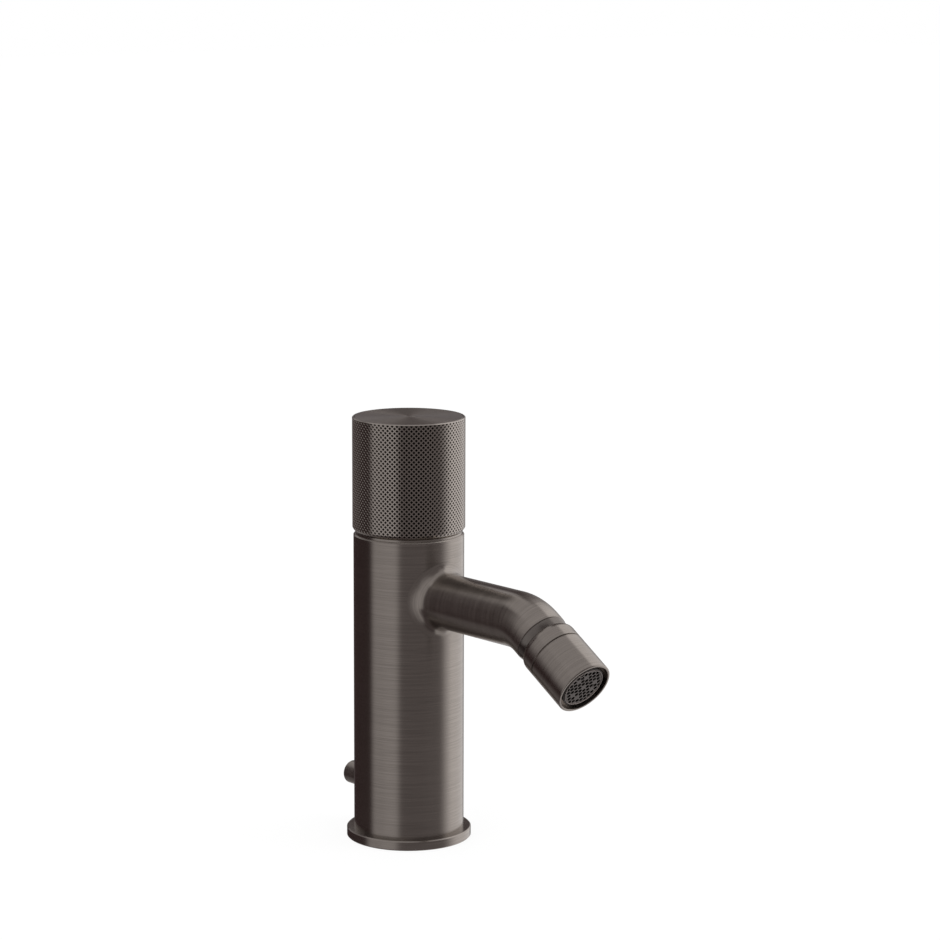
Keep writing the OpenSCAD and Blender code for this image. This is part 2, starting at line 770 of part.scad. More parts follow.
// Radius of the dome's mouth at w, wide enough for the stem at its greatest tilt
function mouth_r(w) = w * tan(corner_tilt) + ball_stem_r / cos(corner_tilt) + mouth_gap;

module socket_washer() {
    color(seal_black) at_ball() translate([0, 0, stub_back - socket_washer_t])
        tube(stub_r, spout_bore_r - washer_lap, socket_washer_t);
}

module ball_seat_ring() {
    color(plastic) at_ball() difference() {
        translate([0, 0, retainer_from]) cylinder(r = cage_r - fit, h = cage_back - retainer_from);
        sphere(r = ball_r + run);
    }
}

module seat_retainer() {
    color(brass) at_ball() translate([0, 0, stub_back])
        tube(cage_r - fit, sqrt(pow(ball_r, 2) - pow(retainer_from, 2)) + retainer_gap, retainer_t);
}

module ball_stem() {
    color(steel) at_ball() difference() {
        union() {
            intersection() {
                sphere(r = ball_r);
                translate([0, 0, ball_back]) cylinder(r = ball_r + 1, h = 2 * ball_r);
            }
            cylinder(r = ball_stem_r, h = cap_floor);
        }
        translate([0, 0, ball_back - 1]) cylinder(r = ball_bore_d / 2, h = cap_floor - ball_back + 2);
    }
}

module slip_ring() {
    color(nylon) at_ball() intersection() {
        difference() {
            sphere(r = slip_out);
            sphere(r = slip_in);
        }
        translate([0, 0, slip_from]) cylinder(r = slip_out + 1, h = slip_w);
    }
}

// Upper ring of the head: it runs on the dome and carries the sleeve
module swivel_cap() {
    shoulder_to = lip_from + sqrt(pow(cap_shoulder, 2) - pow(cap_shoulder - lip_in, 2));
    color(bronze) at_ball() difference() {
        union() {
            rotate_extrude() difference() {
                union() {
                    translate([0, lip_from]) square([head_r - cap_shoulder, cap_to - lip_from]);
                    translate([0, shoulder_to]) square([head_r, cap_to - shoulder_to]);
                    intersection() {
                        translate([head_r - cap_shoulder, shoulder_to]) circle(r = cap_shoulder);
                        translate([0, lip_from]) square([head_r, shoulder_to - lip_from]);
                    }
                }
                translate([-1, 0]) square([1, cap_to + 1]);
            }
            translate([0, 0, cap_to - eps]) cylinder(r = head_r - groove_depth, h = groove_w + eps);
            translate([0, 0, cap_to]) cylinder(r = cap_thread_r, h = cap_thread_to - cap_to);
        }
        intersection() {
            sphere(r = cavity_ball_r);
            translate([0, 0, lip_to]) cylinder(r = cavity_ball_r + 1, h = cavity_ball_r);
        }
        sphere(r = slip_in);
        cylinder(r = ball_stem_r + fit, h = cap_thread_to + 1);
        translate([0, 0, cap_floor]) cylinder(r = cap_bore_r, h = cap_thread_to - cap_floor + 1);
    }
}

module aerator_sleeve() {
    color(bronze) at_ball() difference() {
        union() {
            translate([0, 0, sleeve_from]) cylinder(r = head_r, h = sleeve_len - sleeve_round);
            translate([0, 0, outlet_at - sleeve_round]) rotate_extrude() intersection() {
                union() {
                    square([head_r - sleeve_round, sleeve_round]);
                    translate([head_r - sleeve_round, 0]) circle(r = sleeve_round, $fn = 48);
                }
                square([head_r, sleeve_round]);
            }
        }
        translate([0, 0, sleeve_from - 1])
            cylinder(r = cap_thread_r + fit, h = cap_thread_to + thread_end_gap - sleeve_from + 1);
        translate([0, 0, cap_thread_to]) cylinder(r = thread_bore_r, h = outlet_at - cap_thread_to + 1);
        translate([0, 0, outlet_at - recess_depth]) cylinder(r = recess_r, h = recess_depth + 1);
    }
}

module aerator_washer() {
    color(seal_black) at_ball() translate([0, 0, cap_thread_to])
        tube(aerator_r, aerator_r - washer_w, washer_t);
}

module aerator_insert() {
    color(nylon) at_ball() translate([0, 0, aerator_from])
        tube(aerator_r, aerator_bore_r, aerator_to - aerator_from);
}

module aerator_screen() {
    color(steel) at_ball() translate([0, 0, aerator_from]) linear_extrude(screen_t) difference() {
        circle(r = screen_r);
        hex_cells(screen_rings, screen_pitch) circle(r = screen_hole_r);
    }
}

module flow_regulator() {
    color(plastic) at_ball() translate([0, 0, regulator_from]) difference() {
        cylinder(r = screen_r, h = regulator_t);
        translate([0, 0, -eps]) tube(screen_r - regulator_rim, regulator_hub_r, regulator_t / 2);
        for (i = [1:regulator_holes]) rotate([0, 0, i * 360 / regulator_holes])
            translate([(screen_r - regulator_rim + regulator_hub_r) / 2, 0, -1])
                cylinder(r = screen_hole_r, h = regulator_t + 2);
    }
}

// Honeycomb that shapes the stream, with seven cells left blind
module aerator_plate() {
    color(nylon) at_ball() {
        translate([0, 0, plate_from]) tube(screen_r, screen_r - plate_wall, plate_to - plate_from);
        translate([0, 0, plate_to - comb_t]) linear_extrude(comb_t) difference() {
            circle(r = screen_r);
            hex_cells(comb_rings, comb_pitch, true) rotate(30) circle(r = cell_r, $fn = 6);
        }
    }
}

// Children at the centre of each cell of a hexagon of so many rings, or of its open cells alone
module hex_cells(rings, pitch, open_only = false) {
    for (i = [-rings:rings], j = [-rings:rings])
        if (abs(i + j) <= rings && !(open_only && is_blind(i, j)))
            translate(pitch * [i + j / 2, j * cos(30)]) children();
}

// The centre cell, and the six at two and one steps from it
function is_blind(i, j) = (i == 0 && j == 0)
    || (i * i + i * j + j * j == 7 && (i - j) * (i + 2 * j) * (2 * i + j) > 0);

module rod_guide() {
    color(plastic) translate([0, 0, guide_from]) difference() {
        intersection() {
            union() {
                tube(lower_bore_r - fit, passage_r, guide_to - guide_from);
                translate([0, rod_back, 0]) cylinder(r = guide_boss_r, h = guide_to - guide_from);
            }
            cylinder(r = lower_bore_r - fit, h = guide_to - guide_from);
        }
        translate([0, rod_back, -1]) cylinder(r = rod_r + run, h = guide_to - guide_from + 2);
    }
}

module drain_rod() {
    color(steel) difference() {
        translate([0, rod_back, rod_low]) cylinder(r = rod_r, h = rod_top - rod_low);
        translate([0, rod_back, pull_z]) rotate([-90, 0, 0])
            translate([0, 0, -rod_r - 1]) cylinder(r = pull_pin_r + fit, h = 2 * rod_r + 2);
    }
}

module drain_knob() {
    color(bronze) translate([0, 0, pull_z]) rotate([-90, 0, 0]) {
        translate([0, 0, pull_head_from]) cylinder(r = pull_r, h = pull_len - pull_edge);
        translate([0, 0, pull_end - pull_edge])
            cylinder(r1 = pull_r, r2 = pull_r - pull_edge, h = pull_edge);
        difference() {
            translate([0, 0, rod_back]) cylinder(r = pull_neck_r, h = pull_head_from - rod_back + eps);
            translate([0, -pull_r, rod_back]) rotate([-90, 0, 0])
                cylinder(r = rod_r + fit, h = 2 * pull_r);
        }
        translate([0, 0, rod_back]) cylinder(r = pull_pin_r, h = rod_r + 1);
    }
}

base_flange();
base_seal();
body_shell();
spout_tube();
inlet_core();
core_o_rings();
port_seals();
cartridge_base();
fixed_disc();
cartridge_housing();
retaining_nut();
trim_ring();
moving_disc();
cartridge_stem();
stem_o_ring();
knob_adapter();
knob_sleeve();
knob_washer();
knob_screw();
knob_cap();
swivel_socket();
socket_washer();
ball_seat_ring();
seat_retainer();
ball_stem();
slip_ring();
swivel_cap();
aerator_sleeve();
aerator_washer();
aerator_insert();
aerator_screen();
flow_regulator();
aerator_plate();
rod_guide();
drain_rod();
drain_knob();
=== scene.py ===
import json
import math
import bmesh
import bpy
from mathutils import Matrix, Vector


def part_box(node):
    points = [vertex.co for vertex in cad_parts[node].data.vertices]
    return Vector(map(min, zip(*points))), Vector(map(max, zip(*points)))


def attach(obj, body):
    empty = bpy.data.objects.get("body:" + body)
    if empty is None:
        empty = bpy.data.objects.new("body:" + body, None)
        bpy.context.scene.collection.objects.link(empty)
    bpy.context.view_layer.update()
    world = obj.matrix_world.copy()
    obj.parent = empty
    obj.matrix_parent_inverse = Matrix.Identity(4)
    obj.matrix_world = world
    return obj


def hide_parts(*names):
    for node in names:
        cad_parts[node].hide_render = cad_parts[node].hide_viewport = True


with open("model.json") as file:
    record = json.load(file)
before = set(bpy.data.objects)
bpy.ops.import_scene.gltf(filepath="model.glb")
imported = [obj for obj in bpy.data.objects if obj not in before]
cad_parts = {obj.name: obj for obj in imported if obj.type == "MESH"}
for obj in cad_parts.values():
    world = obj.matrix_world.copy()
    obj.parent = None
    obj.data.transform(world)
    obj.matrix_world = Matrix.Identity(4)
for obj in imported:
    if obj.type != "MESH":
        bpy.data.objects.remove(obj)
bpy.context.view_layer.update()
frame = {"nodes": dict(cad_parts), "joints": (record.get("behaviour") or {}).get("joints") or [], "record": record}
mm = 0.001
sharpFrom = 28  # degrees between two faces from which their edge is shaded as an edge
print("frame loaded:", len(frame["nodes"]), "nodes")


# Shader sums: a Wire is one output of a node, and Sheet makes the nodes of one material.
class Wire:
    def __init__(self, sheet, socket):
        self.sheet = sheet
        self.socket = socket

    def maths(self, operation, *values, clamp=False):
        return self.sheet.node("ShaderNodeMath", {"operation": operation, "use_clamp": clamp}, *values)

    def __add__(self, other):
        return self.maths("ADD", self, other)

    def __radd__(self, other):
        return self.maths("ADD", other, self)

    def __sub__(self, other):
        return self.maths("SUBTRACT", self, other)

    def __rsub__(self, other):
        return self.maths("SUBTRACT", other, self)

    def __mul__(self, other):
        return self.maths("MULTIPLY", self, other)

    def __rmul__(self, other):
        return self.maths("MULTIPLY", other, self)

    def __truediv__(self, other):
        return self.maths("DIVIDE", self, other)

    def clamped(self):
        return self.maths("ADD", self, 0.0, clamp=True)


class Sheet:
    def __init__(self, tree):
        self.tree = tree
        tree.nodes.clear()

    # the one way to add a node: its settings go first, then the values or links of its sockets
    def node(self, kind, settings, *values, out=0, **named):
        made = self.tree.nodes.new(kind)
        for key, value in settings.items():
            if key == "stops":
                self.fillRamp(made.color_ramp, value)
            else:
                setattr(made, key, value)
        for slot, value in list(enumerate(values)) + list(named.items()):
            self.feed(made, slot, value)
        return Wire(self, made.outputs[out]) if len(made.outputs) else made

    def feed(self, made, slot, value):
        name = slot if isinstance(slot, int) else slot.replace("_", " ")
        if isinstance(value, Wire):
            self.tree.links.new(value.socket, made.inputs[name])
        else:
            made.inputs[name].default_value = value

    # another output of a node that was made before
    def outlet(self, wire, name):
        return Wire(self, wire.socket.node.outputs[name])

    def fillRamp(self, ramp, stops):
        ramp.interpolation = "EASE"
        ramp.elements[0].position = stops[0][0]
        ramp.elements[1].position = stops[-1][0]
        for place, level in stops[1:-1]:
            ramp.elements.new(place)
        for element, (place, level) in zip(ramp.elements, stops):
            element.color = (level, level, level, 1)

    def scaled(self, vector, factors):
        return self.node("ShaderNodeVectorMath", {"operation": "MULTIPLY"}, vector, factors)

    def noise(self, vector, scale, detail, rough=0.5):
        return self.node("ShaderNodeTexNoise", {}, Vector=vector, Scale=scale, Detail=detail,
                         Roughness=rough)

    def darker(self, colour, share):
        return self.node("ShaderNodeVectorMath", {"operation": "SCALE"}, colour, Scale=share)

    def blendColour(self, share, low, high):
        pad = [(*c, 1) if isinstance(c, tuple) else c for c in (low, high)]
        mix = self.tree.nodes.new("ShaderNodeMix")
        mix.data_type = "RGBA"
        for index, value in ((0, share), (6, pad[0]), (7, pad[1])):
            self.feed(mix, index, value)
        return Wire(self, mix.outputs[2])


def newMaterial(name):
    material = bpy.data.materials.new(name)
    material.use_nodes = True
    return material, Sheet(material.node_tree)


def finishMaterial(sheet, shader):
    sheet.node("ShaderNodeOutputMaterial", {}, Surface=shader)


# Dark bronze brushed round the piece. The mesh's brush attribute is a place in metres on a drum
# round the piece's axis, its last number the way along the profile. The noise is stretched along
# the scratches. pitLoss is the share of the colour taken away as painted shade in the pits of a
# relief, and pitGain says how soon it is lost on the way down.
brushedBronze = {
    "dark": (0.304, 0.275, 0.251), "light": (0.431, 0.390, 0.357),
    "scratch": (45.0, 45.0, 3000.0), "scratchDetail": 3.0, "scratchRough": 0.6, "scratchShare": 0.88,
    "patch": (30.0, 30.0, 160.0), "patchDetail": 1.0, "patchShare": 0.12, "contrast": 2.4,
    "roughness": 0.25, "spread": 0.08, "anisotropic": 0.70, "turn": 0.25, "bump": 0.2,
    "bumpDepth": 0.00002, "pitLoss": 0.0, "pitGain": 2.0,
}


def bronzeMaterial(name, **changes):
    look = {**brushedBronze, **changes}
    material, sheet = newMaterial(name)
    brush = sheet.node("ShaderNodeAttribute", {"attribute_name": "brush"}, out=1)
    fine = sheet.noise(sheet.scaled(brush, look["scratch"]), 1.0, look["scratchDetail"], look["scratchRough"])
    patch = sheet.noise(sheet.scaled(brush, look["patch"]), 1.0, look["patchDetail"])
    grain = fine * look["scratchShare"] + patch * look["patchShare"]
    tone = ((grain - 0.5) * look["contrast"] + 0.5).clamped()
    colour = sheet.blendColour(tone, look["dark"], look["light"])
    # painted shade: the colour darkens down into the pits of a relief
    if look["pitLoss"]:
        deep = sheet.node("ShaderNodeAttribute", {"attribute_name": "pit"}, out=2)
        colour = sheet.darker(colour, 1.0 - (deep * look["pitGain"]).clamped() * look["pitLoss"])
    rough = look["roughness"] + (fine - 0.5) * look["spread"]
    relief = sheet.node("ShaderNodeBump", {}, Strength=look["bump"], Distance=look["bumpDepth"], Height=fine)
    shader = sheet.node("ShaderNodeBsdfPrincipled", {}, Base_Color=colour, Metallic=1.0, Roughness=rough,
                        Anisotropic=look["anisotropic"], Anisotropic_Rotation=look["turn"], Normal=relief)
    finishMaterial(sheet, shader)
    return material


# One recipe for the plainer stuffs inside: two tones, cloudy noise and a fine bump.
innerStuffs = {
    "raw_brass": dict(low=(0.50, 0.36, 0.15), high=(0.66, 0.50, 0.24), metallic=1.0, roughness=0.28,
                      grain=(300.0, 300.0, 3500.0), bump=0.10),
    "plain_steel": dict(low=(0.48, 0.48, 0.49), high=(0.62, 0.62, 0.63), metallic=1.0, roughness=0.26,
                        grain=(300.0, 300.0, 3500.0), bump=0.10),
    "white_plastic": dict(low=(0.70, 0.69, 0.66), high=(0.80, 0.79, 0.76), metallic=0.0, roughness=0.42,
                          grain=(900.0, 900.0, 900.0), bump=0.05),
    "dark_nylon": dict(low=(0.140, 0.118, 0.109), high=(0.176, 0.149, 0.138), metallic=0.0, roughness=0.38,
                       grain=(1400.0, 1400.0, 1400.0), bump=0.08),
    "disc_ceramic": dict(low=(0.80, 0.79, 0.74), high=(0.87, 0.86, 0.82), metallic=0.0, roughness=0.18,
                         grain=(600.0, 600.0, 600.0), bump=0.02),
    "seal_rubber": dict(low=(0.012, 0.012, 0.012), high=(0.026, 0.026, 0.026), metallic=0.0, roughness=0.62,
                        grain=(2200.0, 2200.0, 2200.0), bump=0.12),
}
innerNoise = {"grainShare": 0.6, "cloud": 120.0, "cloudShare": 0.4, "detail": 2.0, "contrast": 1.8,
              "spread": 0.12, "bumpDepth": 0.00003}


def innerMaterial(name, look, paintedLight=None):
    # paintedLight gives two heights in millimetres on the piece's own axis, then the share of the colour at each:
    # below one it is painted shade, above one a painted highlight
    material, sheet = newMaterial(name)
    place = sheet.node("ShaderNodeTexCoord", {}, out=3)
    grain = sheet.noise(sheet.scaled(place, look["grain"]), 1.0, innerNoise["detail"])
    cloud = sheet.noise(place, innerNoise["cloud"], innerNoise["detail"])
    mixed = grain * innerNoise["grainShare"] + cloud * innerNoise["cloudShare"]
    tone = (mixed - 0.5) * innerNoise["contrast"] + 0.5
    colour = sheet.blendColour(tone.clamped(), look["low"], look["high"])
    # painted shade and highlight, scaled by height along the piece's axis
    if paintedLight:
        brush = sheet.node("ShaderNodeAttribute", {"attribute_name": "brush"}, out=1)
        height = sheet.node("ShaderNodeSeparateXYZ", {}, brush, out=2)
        share = sheet.node("ShaderNodeMapRange", {}, height, paintedLight[0] * mm, paintedLight[1] * mm, paintedLight[2], paintedLight[3])
        colour = sheet.darker(colour, share)
    rough = look["roughness"] + (grain - 0.5) * innerNoise["spread"]
    relief = sheet.node("ShaderNodeBump", {}, Strength=look["bump"], Distance=innerNoise["bumpDepth"],
                        Height=grain)
    shader = sheet.node("ShaderNodeBsdfPrincipled", {}, Base_Color=colour, Metallic=look["metallic"],
                        Roughness=rough, Normal=relief)
    finishMaterial(sheet, shader)
    return material


bronze = bronzeMaterial("bronze brushed round")
# The knurl's bronze is a lighter copy of the rest, a painted highlight on its net, with painted shade in its pits.
knurlPaintedLightBronze = bronzeMaterial("bronze knurled, painted light and shade", pitLoss=0.78, anisotropic=0.0, roughness=0.16, bump=0.03,
                             contrast=0.6, dark=(0.410, 0.373, 0.342), light=(0.510, 0.464, 0.426))
# The dome is a darker copy of the bronze: painted shade.
domeShadedBronze = bronzeMaterial("bronze dome, painted shade", dark=(0.180, 0.162, 0.150), light=(0.250, 0.226, 0.208))
discBronze = bronzeMaterial("bronze knob top", anisotropic=0.95, roughness=0.30, bump=0.02, contrast=1.2)
inner = {name: innerMaterial(name, look) for name, look in innerStuffs.items()}
for subpart in frame["record"]["subparts"]:
    node = frame["nodes"][subpart["node"]]
    node.data.materials.clear()
    node.data.materials.append(inner.get(subpart["material_slot"], bronze))
print("materials made:", len(bpy.data.materials))


# Mesh helpers. Sizes are in millimetres until a mesh is written, and angles given to arc in degrees.
def arc(centre, radius, first, last, steps):
    angles = [math.radians(first + (last - first) * i / steps) for i in range(steps + 1)]
    return [(centre[0] + radius * math.cos(a), centre[1] + radius * math.sin(a)) for a in angles]


def meshPiece(name, points, faces, brush, material, place=None, sharp=sharpFrom):
    mesh = bpy.data.meshes.new(name)
    mesh.from_pydata([Vector(p) * mm for p in points], [], faces)
    if brush:
        values = mesh.attributes.new("brush", "FLOAT_VECTOR", "POINT")
        values.data.foreach_set("vector", [c * mm for point in brush for c in point])
    skin = bmesh.new()
    skin.from_mesh(mesh)
    bmesh.ops.recalc_face_normals(skin, faces=skin.faces)
    skin.to_mesh(mesh)
    skin.free()
    mesh.shade_smooth()
    mesh.set_sharp_from_angle(angle=math.radians(sharp))
    mesh.materials.append(material)
    piece = bpy.data.objects.new(name, mesh)
    bpy.context.scene.collection.objects.link(piece)
    if place:
        piece.matrix_world = place
    return piece


# A closed profile of (radius, height) turned round Z; a radius of 0 becomes a pole. relief gives a
# depth under the surface for an angle, a height and a radius.
def turned(name, profile, around, material, place=None, relief=None, sharp=sharpFrom):
    points, brush, faces, rows, depths = [], [], [], [], []
    widest = max(r for r, z in profile)
    run = 0.0
    for i, (r, z) in enumerate(profile):
        if i:
            run += math.dist(profile[i - 1], (r, z))
        steps = 1 if r < 1e-6 else around
        row = []
        for j in range(steps):
            a = 2 * math.pi * j / around
            deep = relief(a, z, r) if relief else 0.0
            row.append(len(points))
            depths.append(deep)
            points.append(((r - deep) * math.cos(a), (r - deep) * math.sin(a), z))
            brush.append((widest * math.cos(a), widest * math.sin(a), run))
        rows.append(row)
    for low, high in zip(rows, rows[1:] + rows[:1]):
        for j in range(around):
            k = (j + 1) % around
            corners = [low[j % len(low)], low[k % len(low)], high[k % len(high)], high[j % len(high)]]
            face = list(dict.fromkeys(corners))
            if relief and len(face) == 4:
                # split beside the pit, so that a pit is a sharp pyramid in a flat net
                a, b, c, d = face
                along = depths[a] + depths[c] < depths[b] + depths[d]
                faces += [[a, b, c], [a, c, d]] if along else [[a, b, d], [b, c, d]]
            elif len(face) > 2:
                faces.append(face)
    piece = meshPiece(name, points, faces, brush, material, place, sharp)
    if relief:
        deepest = max(depths)
        pit = piece.data.attributes.new("pit", "FLOAT", "POINT")
        pit.data.foreach_set("value", [deep / deepest for deep in depths])
    return piece


# Cuts the cutters out of a piece, whose brush is then simply each point's own place.
def cutAway(piece, cutters):
    for cutter in cutters:
        step = piece.modifiers.new("cut", "BOOLEAN")
        step.operation = "DIFFERENCE"
        step.solver = "EXACT"
        step.object = cutter
    bpy.context.view_layer.update()
    seen = bpy.context.evaluated_depsgraph_get()
    cut = bpy.data.meshes.new_from_object(piece.evaluated_get(seen))
    piece.modifiers.clear()
    piece.data = cut
    for cutter in cutters:
        bpy.data.objects.remove(cutter)
    values = cut.attributes.get("brush") or cut.attributes.new("brush", "FLOAT_VECTOR", "POINT")
    values.data.foreach_set("vector", [c for v in cut.vertices for c in v.co])
    cut.shade_smooth()
    cut.set_sharp_from_angle(angle=math.radians(sharpFrom))


def settle(piece, body, slot, *nodes):
    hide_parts(*nodes)
    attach(piece, body)


# Flange, body and trim ring
flange = {"radius": 25.5, "height": 4.0, "edge": 0.4, "collar": 18.4, "collarTop": 7.0, "bore": 16.4,
          "groove": (20.1, 23.5), "grooveDepth": 1.5, "around": 256}
r, e, h = flange["radius"], flange["edge"], flange["height"]
flangePiece = turned("flange", [
    (flange["bore"], 0), (flange["groove"][0], 0), (flange["groove"][0], flange["grooveDepth"]),
    (flange["groove"][1], flange["grooveDepth"]), (flange["groove"][1], 0), (r - e, 0), (r, e), (r, h - e),
    (r - e, h), (flange["collar"], h), (flange["collar"], flange["collarTop"]),
    (flange["bore"], flange["collarTop"])], flange["around"], bronze)
settle(flangePiece, "mixer_body", "brushed_bronze", "base_flange")

body = {"radius": 22.5, "low": 4.0, "top": 126.5, "edge": 0.5, "bore": 20.0, "lowerBore": 18.5,
        "step": 46.0, "around": 256}
pullSlot = {"half": 2.8, "low": 18.6, "high": 30.6, "flare": 0.5, "from": 12, "past": 1,
            "around": 64}
rootHole = {"radius": 10.25, "from": 12, "to": 30, "height": 102, "around": 96}
bodyPiece = turned("body", [
    (body["radius"], body["low"]), (body["radius"], body["top"] - body["edge"]),
    (body["radius"] - body["edge"], body["top"]), (body["bore"], body["top"]), (body["bore"], body["step"]),
    (body["lowerBore"], body["step"]), (body["lowerBore"], body["low"])], body["around"], bronze)


def slotCutter():
    # a long hole with round ends, flared where it leaves the body
    rim, half, flare, past = body["radius"], pullSlot["half"], pullSlot["flare"], pullSlot["past"]
    points, faces, rings, around = [], [], [], pullSlot["around"]
    for y, reach in ((pullSlot["from"], half), (rim - flare, half), (rim + past, half + flare + past)):
        ring = []
        for j in range(around):
            a = 2 * math.pi * (j + 0.5) / around
            end = pullSlot["high"] if math.sin(a) > 0 else pullSlot["low"]
            ring.append(len(points))
            points.append((reach * math.cos(a), y, end + reach * math.sin(a)))
        rings.append(ring)
    for first, second in zip(rings, rings[1:]):
        for j in range(around):
            k = (j + 1) % around
            faces.append([first[j], first[k], second[k], second[j]])
    faces += [rings[0], rings[-1]]
    return meshPiece("cutter", points, faces, None, bronze)


def rootCutter():
    place = Matrix.Translation((0, 0, rootHole["height"] * mm)) @ Matrix.Rotation(math.radians(90), 4, "X")
    return turned("cutter", [
        (0, rootHole["from"]), (rootHole["radius"], rootHole["from"]), (rootHole["radius"], rootHole["to"]),
        (0, rootHole["to"])], rootHole["around"], bronze, place)


cutAway(bodyPiece, [slotCutter(), rootCutter()])
settle(bodyPiece, "mixer_body", "brushed_bronze", "body_shell")

trim = {"radius": 21.7, "bore": 20.0, "low": 126.5, "high": 127.5, "edge": 0.15, "around": 192}
trimPiece = turned("trim_ring_turned", [
    (trim["bore"], trim["low"]), (trim["radius"], trim["low"]), (trim["radius"], trim["high"] - trim["edge"]),
    (trim["radius"] - trim["edge"], trim["high"]), (trim["bore"], trim["high"])], trim["around"], bronze)
settle(trimPiece, "mixer_body", "brushed_bronze", "trim_ring")
print("body, flange and trim ring made")

# Spout, in a frame whose Z runs out along the straight part and whose Y is up
spout = {"radius": 11.2, "bore": 9.0, "spigot": 10.2, "reach": 67.0, "bend": 22.0, "angle": 31.5,
         "tail": 3.6, "fillet": 4.5, "height": 102.0, "stub": 9.95, "stubDepth": 8.2, "around": 160,
         "filletSteps": 12, "bendSteps": 22, "straightSteps": 24, "innerSteps": 8, "bodySeat": 22.55,
         "inside": 20.0, "edge": 0.2, "underSeat": 0.15, "pastFillet": 0.6}


def spoutLine(s):
    # centre and slope of the tube's line, s millimetres from the body's axis
    bendLength = spout["bend"] * math.radians(spout["angle"])
    t = min(max(s - spout["reach"], 0), bendLength) / spout["bend"]
    rest = max(s - spout["reach"] - bendLength, 0)
    along = min(s, spout["reach"]) + spout["bend"] * math.sin(t) + rest * math.cos(t)
    drop = spout["bend"] * (1 - math.cos(t)) + rest * math.sin(t)
    return along, -drop, t


def spoutRing(s, radius):
    along, up, t = spoutLine(s)
    ring = []
    for j in range(spout["around"]):
        a = 2 * math.pi * j / spout["around"]
        high = radius * math.sin(a)
        ring.append((radius * math.cos(a), up + high * math.cos(t), along + high * math.sin(t)))
    return ring


def onBody(x, y, seat):
    return (x, y, math.sqrt(seat * seat - x * x))


def filletRing(k):
    # k runs from 0 on the body to 1 on the tube; the fillet reaches equally far along both
    rs, rb, reach = spout["radius"], spout["bodySeat"], spout["fillet"]
    ring = []
    for j in range(spout["around"]):
        a = 2 * math.pi * j / spout["around"]
        root = Vector(onBody(rs * math.cos(a), rs * math.sin(a), rb))
        rootTurn = math.asin(root.x / rb)
        out = Vector((math.cos(a) * math.cos(rootTurn), math.sin(a))).normalized()
        turn = rootTurn + out.x * reach / rb
        foot = Vector((rb * math.sin(turn), root.y + out.y * reach, rb * math.cos(turn)))
        back = Vector((-out.x * math.cos(turn), -out.y, out.x * math.sin(turn)))
        span = math.acos(back.z)
        # one cubic curve close to a round arc from the foot on the body to the tube
        bar = 4 / 3 * math.tan(span / 4) / math.tan(span / 2) * reach
        ends = (foot, foot + bar * back, root + Vector((0, 0, reach - bar)), root + Vector((0, 0, reach)))
        shares = ((1 - k) ** 3, 3 * k * (1 - k) ** 2, 3 * k * k * (1 - k), k ** 3)
        ring.append(tuple(sum((share * end for share, end in zip(shares, ends)), Vector((0, 0, 0)))))
    return ring


def seatRing(radius, seat):
    turns = [2 * math.pi * j / spout["around"] for j in range(spout["around"])]
    return [onBody(radius * math.cos(a), radius * math.sin(a), seat) for a in turns]


# rings from inside the body over the fillet, out along the tube and back through the bore
bendEnd = spout["reach"] + spout["bend"] * math.radians(spout["angle"])
tubeEnd = bendEnd + spout["tail"]
stubEnd = tubeEnd - spout["stubDepth"]
steps = spout["straightSteps"]
firstStraight = spout["bodySeat"] + spout["fillet"] + spout["pastFillet"]
rings = [seatRing(spout["spigot"], spout["inside"]),
         seatRing(spout["spigot"], spout["bodySeat"] - spout["underSeat"])]
rings += [filletRing(i / spout["filletSteps"]) for i in range(spout["filletSteps"] + 1)]
rings += [spoutRing(firstStraight + (spout["reach"] - firstStraight) * (i / steps), spout["radius"])
          for i in range(steps + 1)]
rings += [spoutRing(spout["reach"] + (bendEnd - spout["reach"]) * (i + 1) / spout["bendSteps"],
                    spout["radius"]) for i in range(spout["bendSteps"])]
rings += [spoutRing(tubeEnd - spout["edge"], spout["radius"]),
          spoutRing(tubeEnd, spout["radius"] - spout["edge"]),
          spoutRing(tubeEnd, spout["stub"]), spoutRing(stubEnd, spout["stub"]),
          spoutRing(stubEnd, spout["bore"])]
rings += [spoutRing(stubEnd + (spout["reach"] - stubEnd) * (i + 1) / spout["innerSteps"], spout["bore"])
          for i in range(spout["innerSteps"])]
rings += [spoutRing(spout["bodySeat"], spout["bore"]), seatRing(spout["bore"], spout["inside"])]


# A closed skin over rings of equally many points, the last ring joined to the first.
def loft(name, rings, reach, material, place):
    around = len(rings[0])
    points = [p for ring in rings for p in ring]
    brush, run = [], 0.0
    for i, ring in enumerate(rings):
        if i:
            run += sum(math.dist(p, q) for p, q in zip(rings[i - 1], ring)) / around
        turns = [2 * math.pi * j / around for j in range(around)]
        brush += [(reach * math.cos(a), reach * math.sin(a), run) for a in turns]
    faces = []
    for i in range(len(rings)):
        first, second = i * around, ((i + 1) % len(rings)) * around
        for j in range(around):
            k = (j + 1) % around
            faces.append([first + j, first + k, second + k, second + j])
    return meshPiece(name, points, faces, brush, material, place)


spoutPlace = Matrix.Translation((0, 0, spout["height"] * mm)) @ Matrix.Rotation(math.radians(90), 4, "X")
spoutPiece = loft("spout", rings, spout["radius"], bronze, spoutPlace)
settle(spoutPiece, "mixer_body", "brushed_bronze", "spout_tube")
print("spout made")

# Swivel socket, upper ring, sleeve and aerator, in a frame whose Z is the outlet's axis
joints = {joint["name"]: joint for joint in frame["joints"]}
ball = Vector(joints["head_pitch"]["pos_m"])
headX = Vector(joints["head_pitch"]["axis"])
headZ = headX.cross(Vector(joints["head_yaw"]["axis"])).normalized()
headPlace = Matrix((headX, headZ.cross(headX), headZ)).transposed().to_4x4()
headPlace.translation = ball

